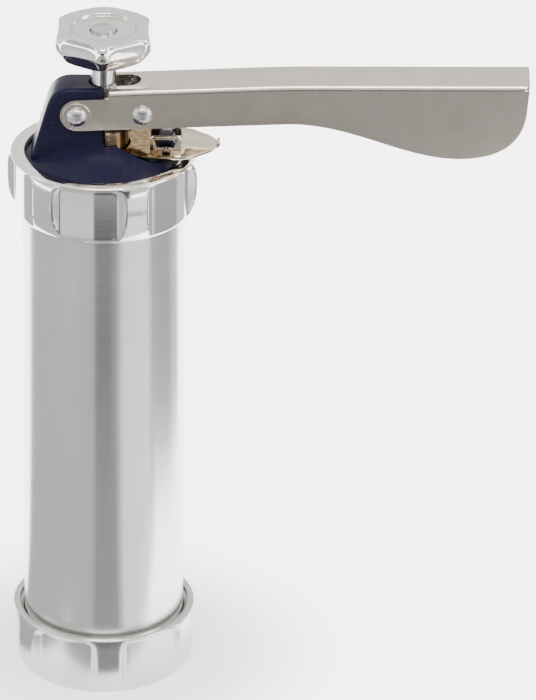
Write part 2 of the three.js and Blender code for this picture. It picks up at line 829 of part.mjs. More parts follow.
const rodGroup = groupAt(
  0, 0, pistonFloor,
  node("piston_disc", pistonDisc(), bushPlastic),
  node("piston_washer", pistonWasher(), steel),
  node("piston_screw", pistonScrew(), steel),
  node("ratchet_rod", ratchetRod(), steel),
);
rodGroup.add(groupAt(0, 0, knobFoot - pistonFloor, node("pull_knob", pullKnob(), chrome)));
group.add(rodGroup);

const headGroup = groupAt(
  0, 0, seat,
  node("head_housing", headHousing(), navyPlastic),
  node("rod_bushing", rodBushing(), bushPlastic),
  node("rod_shoe", rodShoe(), steel),
);
group.add(headGroup);

const rivetUnder = armOuter + 2 * washerGap + pivotWasherThickness;
const leverGroup = groupAt(
  pivotX, 0, pivotHeight,
  node("lever_channel", leverChannel(), satinNickel),
  node("lever_pivot_rivet", rivet(pivotRadius, rivetUnder), steel),
  node("pivot_washer_front", pivotWasher(-1), steel),
  node("pivot_washer_rear", pivotWasher(1), steel),
);
leverGroup.add(groupAt(
  pawlX, 0, pawlRise,
  node("pawl_rivet", rivet(pawlRivetRadius, armOuter + washerGap), steel),
  node("drive_pawl", drivePawl(), steel),
  node("pawl_spacer_front", pawlSpacer(-1), steel),
  node("pawl_spacer_rear", pawlSpacer(1), steel),
  node("pawl_spring", pawlSpring(), steel),
));
headGroup.add(leverGroup);

headGroup.add(groupAt(
  catchPinX, 0, catchPinHeight,
  node("catch_plate", catchPlate(), brightNickel),
  node("catch_pin", catchPin(), steel),
  node("catch_spring", catchSpring(), steel),
));

export default group;
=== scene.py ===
# Looks of the lever food press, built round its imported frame. Metres in Blender; sizes here are in
# millimetres and pass through MM.
import math

import bpy
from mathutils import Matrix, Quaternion, Vector


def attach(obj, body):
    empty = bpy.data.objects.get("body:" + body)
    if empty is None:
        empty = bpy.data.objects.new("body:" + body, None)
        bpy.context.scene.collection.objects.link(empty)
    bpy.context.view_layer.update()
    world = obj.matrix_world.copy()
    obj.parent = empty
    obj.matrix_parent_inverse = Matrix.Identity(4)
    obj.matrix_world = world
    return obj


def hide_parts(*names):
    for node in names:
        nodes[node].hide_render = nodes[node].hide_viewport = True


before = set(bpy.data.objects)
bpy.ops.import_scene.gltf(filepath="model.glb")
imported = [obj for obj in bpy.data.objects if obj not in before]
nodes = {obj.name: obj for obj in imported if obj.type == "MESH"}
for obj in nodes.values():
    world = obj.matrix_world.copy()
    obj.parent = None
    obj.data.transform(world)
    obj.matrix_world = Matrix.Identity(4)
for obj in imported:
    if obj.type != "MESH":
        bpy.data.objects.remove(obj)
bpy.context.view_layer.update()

MM = 0.001
DEG = math.pi / 180
UPRIGHT = (0, 0, 1)

# ---------- sizes shared by several pieces ----------
TUBE_RADIUS = 24.0
BORE_RADIUS = 22.5
TUBE_BASE = 4.0
TUBE_TOP = 165.0
SEAT = 165.3
COLLAR_HEIGHT = 19.0
COLLAR_RADIUS = 28.5
COLLAR_BORE = 24.3
FLUTE_FLOOR = 26.2
FLUTE_HALF_WIDTH = 8.7
FLUTE_CORNER = 1.6
FLUTE_TOP = 17.3
TOP_COLLAR_BASE = 150.2
TOP_FLUTE_TURN = -98.5
BASE_FLUTE_TURN = -115.5
ROD_RADIUS = 3.7
ROD_HOLE = 4.0
ROD_TOP = 208.4
KNOB_FOOT = 198.5
PIVOT = (-7.7, 183.25)
PAWL_RIVET = (11.4, 183.75)
CATCH_PIN = (18.5, 171.9)
ARM_INNER = 6.3
ARM_OUTER = 7.5
SHEET = 1.2
LEVER_END = 132.4  # from the pivot


# ---------- modelling helpers ----------
def fresh():
    """Object mode, with nothing selected."""
    if bpy.context.object and bpy.context.object.mode != "OBJECT":
        bpy.ops.object.mode_set(mode="OBJECT")
    bpy.ops.object.select_all(action="DESELECT")


def pick(piece):
    fresh()
    piece.select_set(True)
    bpy.context.view_layer.objects.active = piece


def tidy(piece):
    """Welds doubled points, closes open ends and turns all faces outwards."""
    pick(piece)
    bpy.ops.object.mode_set(mode="EDIT")
    bpy.ops.mesh.select_all(action="SELECT")
    bpy.ops.mesh.remove_doubles(threshold=2e-6)
    bpy.ops.mesh.fill_holes(sides=0)
    bpy.ops.mesh.select_all(action="SELECT")
    bpy.ops.mesh.normals_make_consistent(inside=False)
    bpy.ops.object.mode_set(mode="OBJECT")


def turn(name, rings, sides=96):
    """Turned about Z: a circle drawn on through each (radius, height)."""
    fresh()
    radius, height = rings[0]
    bpy.ops.mesh.primitive_circle_add(vertices=sides, radius=radius * MM, fill_type="NOTHING")
    piece = bpy.context.object
    piece.name = name
    bpy.ops.object.mode_set(mode="EDIT")
    bpy.ops.mesh.select_all(action="SELECT")
    bpy.ops.transform.translate(value=(0, 0, height * MM))
    for wide, high in rings[1:]:
        bpy.ops.mesh.extrude_edges_move(
            TRANSFORM_OT_translate={"value": (0, 0, (high - height) * MM)}
        )
        grow = wide / radius
        bpy.ops.transform.resize(value=(grow, grow, 1), center_override=(0, 0, high * MM))
        radius, height = wide, high
    tidy(piece)
    return piece


def drawn(name, outline, low, high, side_view=False):
    """An outline in plan (x, y) or side view (x, z), drawn out from low to high."""
    fresh()
    bpy.ops.mesh.primitive_circle_add(vertices=len(outline), radius=MM, fill_type="NGON")
    piece = bpy.context.object
    piece.name = name
    for point, (a, b) in zip(piece.data.vertices, outline):
        point.co = (a * MM, low * MM, b * MM) if side_view else (a * MM, b * MM, low * MM)
    along = (0, (high - low) * MM, 0) if side_view else (0, 0, (high - low) * MM)
    bpy.ops.object.mode_set(mode="EDIT")
    bpy.ops.mesh.select_all(action="SELECT")
    bpy.ops.mesh.extrude_region_move(TRANSFORM_OT_translate={"value": along})
    tidy(piece)
    return piece


def block(name, x0, x1, y0, y1, z0, z1):
    return drawn(name, [(x0, y0), (x1, y0), (x1, y1), (x0, y1)], z0, z1)


def laid_across(piece, x, z):
    """Turns a piece's Z axis to lie along Y, and moves it to (x, z)."""
    pick(piece)
    piece.rotation_euler = (math.pi / 2, 0, 0)
    piece.location = (x * MM, 0, z * MM)
    bpy.ops.object.transform_apply(location=True, rotation=True, scale=True)
    return piece


def cross_bar(name, radius, half, x, z, sides=48):
    return laid_across(turn(name, [(radius, -half), (radius, half)], sides), x, z)


def worked(piece, tools, how):
    """Cuts, joins or trims a piece with others, which are used up."""
    for tool in tools:
        pick(piece)
        modifier = piece.modifiers.new("work", "BOOLEAN")
        modifier.operation = how
        modifier.solver = "EXACT"
        modifier.object = tool
        bpy.ops.object.modifier_apply(modifier=modifier.name)
        bpy.data.objects.remove(tool, do_unlink=True)
    return piece


def eased(piece, width, segments=3, angle=40):
    """Rounds the edges over an angle."""
    pick(piece)
    modifier = piece.modifiers.new("ease", "BEVEL")
    modifier.width = width * MM
    modifier.segments = segments
    modifier.limit_method = "ANGLE"
    modifier.angle_limit = angle * DEG
    bpy.ops.object.modifier_apply(modifier=modifier.name)
    return piece


def shaded(piece, angle=35):
    pick(piece)
    bpy.ops.object.shade_smooth_by_angle(angle=angle * DEG)
    fresh()
    return piece


def arc(x, y, radius, start, end, steps):
    """Points of an arc, its angles in degrees."""
    points = []
    for i in range(steps + 1):
        a = (start + (end - start) * i / steps) * DEG
        points.append((x + radius * math.cos(a), y + radius * math.sin(a)))
    return points


def bezier(a, b, c, d, steps):
    """Points of a curve from a to d, after a."""
    points = []
    for i in range(1, steps + 1):
        t = i / steps
        u = 1 - t
        w = (u * u * u, 3 * u * u * t, 3 * u * t * t, t * t * t)
        points.append(tuple(w[0] * a[k] + w[1] * b[k] + w[2] * c[k] + w[3] * d[k] for k in (0, 1)))
    return points


def soft_least(a, b, reach):
    """The lesser of two, blended where they are nearly equal."""
    h = max(reach - abs(a - b), 0) / reach
    return min(a, b) - h * h * reach / 4


# ---------- finishes ----------
def map_range(tree, value, low, high, from_low, from_high):
    """A node that carries a value from one range onto another."""
    node = tree.nodes.new("ShaderNodeMapRange")
    ends = {"From Min": from_low, "From Max": from_high, "To Min": low, "To Max": high}
    for key, number in ends.items():
        node.inputs[key].default_value = number
    tree.links.new(value, node.inputs["Value"])
    return node


class Finish:
    """A material with its shader ready, and short ways to add and link nodes."""

    def __init__(self, name, color, metallic, roughness):
        self.material = bpy.data.materials.new(name)
        self.material.use_nodes = True
        self.tree = self.material.node_tree
        self.shader = self.tree.nodes["Principled BSDF"]
        self.shader.inputs["Base Color"].default_value = (*color, 1)
        self.shader.inputs["Metallic"].default_value = metallic
        self.shader.inputs["Roughness"].default_value = roughness
        self.place = self.add("ShaderNodeTexCoord").outputs["Object"]

    def add(self, kind, **settings):
        node = self.tree.nodes.new(kind)
        for key, value in settings.items():
            setattr(node, key, value)
        return node

    def link(self, a, b):
        self.tree.links.new(a, b)

    def stretched(self, scale):
        """Object coordinates scaled apart along each axis."""
        mapping = self.add("ShaderNodeMapping")
        mapping.inputs["Scale"].default_value = scale
        self.link(self.place, mapping.inputs["Vector"])
        return mapping.outputs["Vector"]

    def noise(self, vector, scale, detail=3, roughness=0.5):
        noise = self.add("ShaderNodeTexNoise")
        noise.inputs["Scale"].default_value = scale
        noise.inputs["Detail"].default_value = detail
        noise.inputs["Roughness"].default_value = roughness
        self.link(vector, noise.inputs["Vector"])
        return noise.outputs["Fac"]

    def spread(self, value, low, high, from_low=0.3, from_high=0.7):
        """A noise value mapped onto a range."""
        return map_range(self.tree, value, low, high, from_low, from_high).outputs["Result"]

    def blend(self, factor, a, b):
        ramp = self.add("ShaderNodeValToRGB")
        ramp.color_ramp.elements[0].color = (*a, 1)
        ramp.color_ramp.elements[1].color = (*b, 1)
        ramp.color_ramp.elements[0].position = 0.3
        ramp.color_ramp.elements[1].position = 0.7
        self.link(factor, ramp.inputs["Fac"])
        return ramp.outputs["Color"]

    def color(self, output):
        self.link(output, self.shader.inputs["Base Color"])

    def rough(self, output):
        self.link(output, self.shader.inputs["Roughness"])

    def bump(self, height, strength, distance):
        node = self.add("ShaderNodeBump")
        node.inputs["Strength"].default_value = strength
        node.inputs["Distance"].default_value = distance * MM
        self.link(height, node.inputs["Height"])
        self.link(node.outputs["Normal"], self.shader.inputs["Normal"])

    def round_axis(self, around, along):
        """Coordinates for lines that run round Z: nearly constant round it, fine along it."""
        parts = self.add("ShaderNodeSeparateXYZ")
        self.link(self.place, parts.inputs["Vector"])
        joined = self.add("ShaderNodeCombineXYZ")
        for axis, factor in (("X", around), ("Y", around), ("Z", along)):
            times = self.add("ShaderNodeMath", operation="MULTIPLY")
            times.inputs[1].default_value = factor
            self.link(parts.outputs[axis], times.inputs[0])
            self.link(times.outputs["Value"], joined.inputs[axis])
        return joined.outputs["Vector"]

    def pulled(self, direction, amount):
        """Highlights drawn out along a direction, as brushed metal does."""
        way = self.add("ShaderNodeCombineXYZ")
        for axis, value in zip("XYZ", direction):
            way.inputs[axis].default_value = value
        self.link(way.outputs["Vector"], self.shader.inputs["Tangent"])
        self.shader.inputs["Anisotropic"].default_value = amount


def turned_metal(name, dark, light, rough_low, rough_high, pull, line_depth):
    """Aluminium turned on a lathe: fine lines round the axis, faint clouding."""
    f = Finish(name, light, 1, rough_low)
    lines = f.noise(f.round_axis(18, 2600), 1, 4, 0.6)
    cloud = f.noise(f.place, 70, 3)
    f.color(f.blend(cloud, dark, light))
    f.rough(f.spread(lines, rough_low, rough_high))
    f.bump(lines, 0.3, line_depth)
    f.pulled(UPRIGHT, pull)
    return f.material


def drawn_metal(name, dark, light, rough_low, rough_high, scale, pull_way, pull, depth):
    """Sheet or wire with grain along one axis and light scuffing."""
    f = Finish(name, light, 1, rough_low)
    grain = f.noise(f.stretched(scale), 1, 4, 0.6)
    cloud = f.noise(f.place, 120, 4)
    f.color(f.blend(cloud, dark, light))
    f.rough(f.spread(grain, rough_low, rough_high))
    f.bump(grain, 0.3, depth)
    f.pulled(pull_way, pull)
    return f.material


def plated(name, dark, light, rough_low, rough_high):
    """Bright plating with faint waviness and fine wipe marks."""
    f = Finish(name, light, 1, rough_low)
    wave = f.noise(f.place, 160, 2)
    wipe = f.noise(f.stretched((900, 2400, 1500)), 1, 3)
    f.color(f.blend(wave, dark, light))
    f.rough(f.spread(wipe, rough_low, rough_high))
    f.bump(wave, 0.12, 0.02)
    return f.material


def catch_with_painted_reflection():
    """The catch's bright plating, with a painted golden-brown reflection over the leaf beside the
    rod.
    """
    f = Finish("bright_catch_nickel", (0.77, 0.7, 0.59), 1, 0.12)
    wave = f.noise(f.place, 160, 2)
    scuff_and_reflection_streaks = f.noise(f.stretched((700, 900, 700)), 1, 4)
    parts = f.add("ShaderNodeSeparateXYZ")
    f.link(f.place, parts.inputs["Vector"])
    # Painted reflection: golden brown on the leaf beside the rod, fading into the plating further out
    # along X.
    painted_reflection = f.add("ShaderNodeMix", data_type="RGBA")
    f.link(f.spread(parts.outputs["X"], 0, 1, 0.0125, 0.0225), painted_reflection.inputs["Factor"])
    f.link(f.blend(scuff_and_reflection_streaks, (0.09, 0.045, 0.015), (0.46, 0.31, 0.14)), painted_reflection.inputs[6])
    f.link(f.blend(wave, (0.62, 0.54, 0.42), (0.77, 0.7, 0.59)), painted_reflection.inputs[7])
    f.color(painted_reflection.outputs[2])
    f.rough(f.spread(scuff_and_reflection_streaks, 0.1, 0.2))
    f.bump(scuff_and_reflection_streaks, 0.2, 0.008)
    return f.material


def gloss_navy():
    """Moulded navy plastic: deep gloss, faint orange peel and a few specks of dust."""
    f = Finish("gloss_navy_moulding", (0.012, 0.011, 0.026), 0, 0.16)
    specks = f.noise(f.place, 900, 2, 0.4)
    mottle = f.noise(f.place, 90, 3)
    peel = f.noise(f.place, 420, 2)
    base = f.blend(mottle, (0.0105, 0.0095, 0.028), (0.0145, 0.0135, 0.036))
    dust = f.add("ShaderNodeMix", data_type="RGBA")
    f.link(f.spread(specks, 0, 0.35, 0.7, 0.8), dust.inputs["Factor"])
    f.link(base, dust.inputs[6])
    dust.inputs[7].default_value = (0.12, 0.11, 0.14, 1)
    f.color(dust.outputs[2])
    f.rough(f.spread(mottle, 0.24, 0.33))
    f.bump(peel, 0.1, 0.03)
    f.shader.inputs["Specular IOR Level"].default_value = 0.09
    return f.material


def milky_plastic():
    f = Finish("milky_moulding", (0.8, 0.79, 0.75), 0, 0.45)
    mottle = f.noise(f.place, 130, 3)
    f.color(f.blend(mottle, (0.75, 0.74, 0.69), (0.82, 0.81, 0.78)))
    f.rough(f.spread(mottle, 0.38, 0.52))
    f.bump(f.noise(f.place, 700, 2), 0.15, 0.02)
    return f.material


tube_metal = turned_metal(
    "brushed_tube_aluminium", (0.74, 0.735, 0.72), (0.79, 0.785, 0.775), 0.2, 0.27, 0.75, 0.004
)
top_collar_metal = turned_metal(
    "bright_collar_aluminium", (0.82, 0.815, 0.8), (0.9, 0.895, 0.88), 0.08, 0.12, 0.3, 0.0012
)
# Painted shade: the lower collar is a darker copy of the collar aluminium, standing in for the shade
# it sits in near the floor.
shaded_base_collar_metal = turned_metal(
    "satin_collar_aluminium_painted_shade", (0.6, 0.59, 0.575), (0.69, 0.68, 0.66), 0.2, 0.27, 0.3, 0.002
)
disc_metal = turned_metal(
    "pressed_disc_aluminium", (0.7, 0.7, 0.69), (0.78, 0.78, 0.78), 0.3, 0.42, 0.2, 0.01
)
lever_metal = drawn_metal(
    "satin_lever_nickel", (0.65, 0.59, 0.515), (0.71, 0.65, 0.57),
    0.2, 0.25, (60, 1500, 1500), UPRIGHT, 0.3, 0.002,
)
catch_metal = catch_with_painted_reflection()
knob_metal = plated("polished_knob_chrome", (0.76, 0.73, 0.69), (0.83, 0.8, 0.77), 0.05, 0.1)
rod_metal = drawn_metal(
    "drawn_rod_steel", (0.55, 0.55, 0.56), (0.68, 0.68, 0.7),
    0.12, 0.24, (1800, 1800, 14), UPRIGHT, 0.2, 0.006,
)
rivet_metal = drawn_metal(
    "headed_rivet_steel", (0.6, 0.6, 0.6), (0.72, 0.72, 0.72),
    0.24, 0.3, (260, 260, 260), UPRIGHT, 0.0, 0.004,
)
# Dark bronze for the shoe. The catch pin also takes it as painted shade, so the pin reads dark inside
# the ear's window.
bronze_and_painted_shade = drawn_metal(
    "shoe_bronze_and_pin_shade", (0.1, 0.065, 0.035), (0.42, 0.33, 0.22),
    0.16, 0.3, (1500, 1500, 16), UPRIGHT, 0.3, 0.01,
)
navy_plastic = gloss_navy()
bush_plastic = milky_plastic()


def placed(piece, node, body, finish, angle=35):
    """Puts a finished piece in a node's place."""
    shaded(piece, angle)
    piece.data.materials.clear()
    piece.data.materials.append(finish)
    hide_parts(node)
    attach(piece, body)


# ---------- barrel and outlet disc ----------
def make_tube():
    ease = 0.35
    return turn(
        "tube",
        [
            (BORE_RADIUS, TUBE_BASE + ease),
            (BORE_RADIUS + ease, TUBE_BASE),
            (TUBE_RADIUS - ease, TUBE_BASE),
            (TUBE_RADIUS, TUBE_BASE + ease),
            (TUBE_RADIUS, 60),
            (TUBE_RADIUS, 115),
            (TUBE_RADIUS, TUBE_TOP - ease),
            (TUBE_RADIUS - ease, TUBE_TOP),
            (BORE_RADIUS + ease, TUBE_TOP),
            (BORE_RADIUS, TUBE_TOP - ease),
            (BORE_RADIUS, TUBE_BASE + ease),
        ],
        192,
    )


def make_disc():
    """A pressed disc with a dished middle and four petal openings."""
    disc = turn(
        "petal_disc",
        [
            (0.2, 0), (18.4, 0), (18.9, 0.15), (19.5, 0.8), (19.6, 1.9), (19.9, 2.25), (20.4, 2.3),
            (23.3, 2.3), (23.6, 2.6), (23.6, 3.3), (23.3, 3.6), (19.2, 3.6), (18.6, 3.3), (18.3, 2.6),
            (17.9, 1.7), (17.2, 1.35), (16.4, 1.3), (0.2, 1.3),
        ],
        96,
    )
    petals = []
    for quarter in range(4):
        c, s = round(math.cos(quarter * 90 * DEG)), round(math.sin(quarter * 90 * DEG))
        outline = []
        for i in range(40):
            a = i / 40 * 2 * math.pi
            x, y = 10.2 + 5.5 * math.cos(a), 3.7 * math.sin(a)
            outline.append((x * c - y * s, x * s + y * c))
        petals.append(drawn("petal", outline, -1, 3))
    worked(disc, petals, "DIFFERENCE")
    return eased(disc, 0.18, 2, 60)


# ---------- collars ----------
def barrelled(height):
    """Land radius of a collar at a height over its lower rim, fullest at a belt above its middle."""
    belt = 0.62
    foot_taper = 3.3
    top_taper = 1.2
    t = height / COLLAR_HEIGHT
    if t < belt:
        return COLLAR_RADIUS - foot_taper * ((belt - t) / belt) ** 3
    return COLLAR_RADIUS - top_taper * ((t - belt) / (1 - belt)) ** 2.2


def flute_radius(angle, height):
    """Distance from the axis to a flute's surface: round floor, rounded corners, steep sides."""
    steepness = 1.25
    across = max(FLUTE_FLOOR * abs(angle) - FLUTE_HALF_WIDTH + FLUTE_CORNER, 0)
    up = max(height - FLUTE_TOP + FLUTE_CORNER, 0)
    beyond = max(math.hypot(across, up) - FLUTE_CORNER, 0)
    return FLUTE_FLOOR + steepness * beyond


def make_collar(name, base, flute_turn, inside):
    """A barrelled collar with six round-floored flutes. inside is its bore, from the top down."""
    steps = 34
    ease = 0.55
    foot_ease = 0.35
    outside = [(barrelled(0) - foot_ease, 0)]
    for i in range(steps + 1):
        z = foot_ease + (COLLAR_HEIGHT - ease - foot_ease) * i / steps
        outside.append((barrelled(z), z))
    for a in (22.5, 45, 67.5, 90):
        z = COLLAR_HEIGHT - ease + ease * math.sin(a * DEG)
        outside.append((barrelled(z) - ease * (1 - math.cos(a * DEG)), z))
    rings = [(r, z + base) for r, z in outside + inside]
    collar = turn(name, rings + rings[:1], 360)
    for point in collar.data.vertices:
        r = math.hypot(point.co.x, point.co.y) / MM
        height = min(max(point.co.z / MM - base, 0), COLLAR_HEIGHT)
        if r < COLLAR_BORE + 0.6:
            continue
        azimuth = math.atan2(point.co.y, point.co.x) / DEG
        off = ((azimuth - flute_turn + 30) % 60 - 30) * DEG
        wanted = soft_least(r, flute_radius(off, height), 0.3)
        point.co.x *= wanted / r
        point.co.y *= wanted / r
    return collar


def make_top_collar():
    rim = COLLAR_HEIGHT
    lip = rim - 2
    inside = [
        (24.6, rim), (23.7, rim), (23.45, rim - 0.1), (23.34, rim - 0.35),
        (23.34, lip), (COLLAR_BORE, lip), (COLLAR_BORE, 0.4), (24.7, 0),
    ]
    return make_collar("upper_collar", TOP_COLLAR_BASE, TOP_FLUTE_TURN, inside)


def make_base_collar():
    rim = COLLAR_HEIGHT
    inside = [
        (25.75, rim), (25.4, rim - 0.15), (25.3, rim - 0.5), (25.3, 17.4), (24.3, 16.8),
        (COLLAR_BORE, 2.0), (19.9, 2.0), (19.9, 0.3), (20.2, 0),
    ]
    return make_collar("lower_collar", 0, BASE_FLUTE_TURN, inside)


# ---------- rod and knob ----------
def make_rod():
    rod = turn(
        "toothed_rod",
        [
            (1.9, 14.4), (1.9, 6.8), (2.7, 6.8), (2.7, 9.5), (3.5, 9.5), (ROD_RADIUS, 9.8),
            (ROD_RADIUS, 100), (ROD_RADIUS, ROD_TOP - 0.5), (3.55, ROD_TOP - 0.15), (3.2, ROD_TOP),
            (0.1, ROD_TOP),
        ],
        48,
    )
    root = ROD_RADIUS - 1.1
    first = 21.5
    pitch = 4
    teeth_count = 43
    notch = [(root, first), (4.7, first), (4.7, first + 5.8), (root, first + 0.8)]
    teeth = drawn("tooth_cutter", notch, -5, 5, side_view=True)
    pick(teeth)
    modifier = teeth.modifiers.new("row", "ARRAY")
    modifier.count = teeth_count
    modifier.use_relative_offset = False
    modifier.use_constant_offset = True
    modifier.constant_offset_displace = (0, 0, pitch * MM)
    bpy.ops.object.modifier_apply(modifier=modifier.name)
    return worked(rod, [teeth], "DIFFERENCE")


def make_knob():
    """A rounded body with six dished facets, each in two tiers, and a recessed top."""
    outside = [
        (8.5, 0), (9.2, 0.08), (10.1, 0.3), (11.0, 0.65), (11.9, 1.1), (12.7, 1.65), (13.4, 2.3),
        (14.0, 3.0), (14.5, 3.7), (14.95, 4.3), (15.3, 4.9), (15.55, 5.4), (15.7, 5.9), (15.78, 6.4),
        (15.8, 7.2), (15.8, 7.9), (15.7, 8.5), (15.45, 9.1), (15.05, 9.6), (14.5, 9.95), (13.9, 10.2),
        (13.2, 10.35), (12.4, 10.4), (11.5, 10.4),
    ]
    inside = [
        (10.4, 10.37), (9.8, 10.25), (9.5, 10.0), (9.35, 9.65), (9.3, 9.3), (9.1, 9.1),
        (8.7, 9.05), (6.0, 9.12), (4.4, 9.15), (4.1, 9.05), (4.0, 8.85), (4.0, 0),
    ]
    rings = [(r, z + KNOB_FOOT) for r, z in outside + inside]
    knob = turn("facet_knob", rings + rings[:1], 360)
    crease = 5.8
    dish_depth = 0.5
    for point in knob.data.vertices:
        r = math.hypot(point.co.x, point.co.y) / MM
        height = point.co.z / MM - KNOB_FOOT
        if r < 8.4 or (r < 11.0 and height > 9):
            continue
        azimuth = math.atan2(point.co.y, point.co.x) / DEG
        off = abs((azimuth + 30) % 60 - 30) / 30
        if height < crease:
            share = height / crease
            corner = 10.2 + 6.5 * max(share, 0) ** 0.6
        else:
            share = (height - crease) / (10.9 - crease)
            corner = 16.7 - 1.4 * share
        dish = 0
        if 0 < share < 1:
            dish = max(1 - (off / 0.82) ** 4, 0) * min(1, 3.2 * min(share, 1 - share))
        flat = corner * math.cos(30 * DEG) / math.cos(off * 30 * DEG) - dish_depth * dish
        wanted = soft_least(r, flat, 0.45)
        point.co.x *= wanted / r
        point.co.y *= wanted / r
    return knob


# ---------- head ----------
def plate_outline(grow, steps=10):
    """Half-round horns, wide shoulders and a narrow tip, in plan."""
    half, horn = 10.4 + grow, 6.7 + grow
    near = [(4.9 - grow, -horn)]
    near += bezier(near[0], (8.6, -half - 0.1), (15.5, -half - 0.15), (21.6, -half), steps)
    near += bezier((21.6, -half), (24.4, -half + 0.05), (26.0, -half + 0.6), (27.6, -half + 2.2), 6)
    near += [(31.2, -half + 5.2), (33.3 + grow, -2.2 - grow)]
    far = [(x, -y) for x, y in reversed(near)]
    return near + far


def make_head():
    """Domed deck, spigot and boss, with a rounded tower and the catch pin's lug."""
    dome = []
    edge = 20.8
    for i in range(9):
        r = ROD_HOLE + (edge - ROD_HOLE) * i / 8
        dome.append((r, 8.9 - 6.1 * (r / edge) ** 2))
    rings = dome + [
        (21.1, 2.72), (22.6, 2.14), (22.85, 1.98), (22.9, 1.8), (22.9, 1.6), (TUBE_RADIUS, 1.6),
        (TUBE_RADIUS, 0), (22.2, 0), (22.2, -5.7), (21.9, -6), (20.2, -6), (20.2, -0.5), (9.5, 1.5),
        (9.5, -7), (6.5, -7), (6.5, 1), (ROD_HOLE, 1), dome[0],
    ]
    head = turn("domed_head", [(r, z + SEAT) for r, z in rings], 144)
    lean = Vector((6.8, 23.7)).normalized()
    shoulder = (-14.9 - lean.x * 6, 25.7 - lean.y * 6)
    outline = [(-21.7, 2.0), shoulder]
    outline += bezier(shoulder, (-15.2, 24.6), (-12.2, 25.7), (-8.9, 25.7), 10)
    outline += [(-1.5, 25.7)] + arc(-1.5, 23.7, 2, 80, 0, 6) + [(0.5, 2.0)]
    tower = drawn("tower", [(x, z + SEAT) for x, z in outline], -6, 6, side_view=True)
    eased(tower, 1.4, 5, 50)
    worked(head, [tower], "UNION")
    room = drawn("plate_room", plate_outline(0.6), SEAT + 4.05, SEAT + 28)
    shaft = turn("rod_shaft", [(ROD_HOLE, 165.8), (ROD_HOLE, SEAT + 24.6), (5.0, SEAT + 27)], 64)
    notch = turn("shoe_room", [(7.7, SEAT + 2.7), (7.7, SEAT + 27)], 64)
    worked(notch, [block("half", 0.5, 9, -9, 9, SEAT, SEAT + 28)], "INTERSECT")
    worked(head, [shaft, notch, room], "DIFFERENCE")
    lug = eased(block("lug", 16.4, 20.6, -3.9, 3.9, SEAT + 2.5, SEAT + 8.65), 0.5, 3)
    worked(head, [lug], "UNION")
    holes = [cross_bar("pin_hole", 1.2, 8, *CATCH_PIN), cross_bar("pivot_hole", 2.3, 8, *PIVOT)]
    return worked(head, holes, "DIFFERENCE")


def make_shoe():
    shoe = turn(
        "shoe",
        [
            (ROD_HOLE, SEAT + 3), (7.2, SEAT + 3), (7.4, SEAT + 3.2), (7.4, SEAT + 11.9),
            (7.1, SEAT + 12.2), (4.3, SEAT + 12.2), (ROD_HOLE, SEAT + 11.9), (ROD_HOLE, SEAT + 3),
        ],
        96,
    )
    return worked(shoe, [block("half", 0.8, 9, -9, 9, SEAT, SEAT + 14)], "INTERSECT")


def make_rivet(name, shank, under, place):
    """A rivet laid across the arms, with a domed head at each end."""
    head = [
        (shank, 0), (2.8, 0), (2.95, 0.12), (2.97, 0.3), (2.88, 0.62), (2.65, 0.98), (2.28, 1.28),
        (1.8, 1.5), (1.2, 1.66), (0.6, 1.73), (0.1, 1.74),
    ]
    upper = [(r, z + under) for r, z in head]
    lower = [(r, -z) for r, z in reversed(upper)]
    return laid_across(turn(name, lower + upper, 48), *place)


def make_washer(name, side):
    hole = 2.3
    rim = 4.1
    ease = 0.1
    low, high = (7.65, 8.05) if side > 0 else (-8.05, -7.65)
    rings = [
        (hole, low), (rim - ease, low), (rim, low + ease),
        (rim, high - ease), (rim - ease, high), (hole, high),
    ]
    return laid_across(turn(name, rings + rings[:1], 48), *PIVOT)


def make_pin():
    rings = [(0.1, -7.9), (0.6, -7.9), (0.9, -7.6), (0.9, 7.6), (0.6, 7.9), (0.1, 7.9)]
    return laid_across(turn("pin", rings, 32), *CATCH_PIN)


# ---------- lever ----------
def web_height(x):
    """Height of the lever's top over the pivot: two straight runs joined by a short bend."""
    past = x - 60.7
    rise = 10.585
    near_slope, far_slope = 0.05, 0.01
    reach = 8
    if past < -reach:
        return rise + near_slope * past
    if past > reach:
        return rise + far_slope * past
    return rise + 0.03 * past - 0.00125 * (past * past + reach * reach)


def lever_side():
    """The lever's outline in side view, about the pivot."""
    eye = 4.9
    start = (61.7, -eye + 0.047 * 61.7)
    low = (111.5, -12.6)
    outline = [(0, -eye), (20, -3.96), (40, -3.02), start]
    outline += bezier(start, (80.2, start[1] + 0.5), (95.2, -12.6), low, 20)
    outline += bezier(low, (124.7, -12.6), (131.0, -6.7), (131.6, 3.4), 16)
    outline += [(LEVER_END, 13.2), (10, 13.2), (9.5, 5.4), (0, eye)]
    outline += arc(0, 0, eye, 90, 270, 24)[1:-1]
    return [(x + PIVOT[0], z + PIVOT[1]) for x, z in outline]


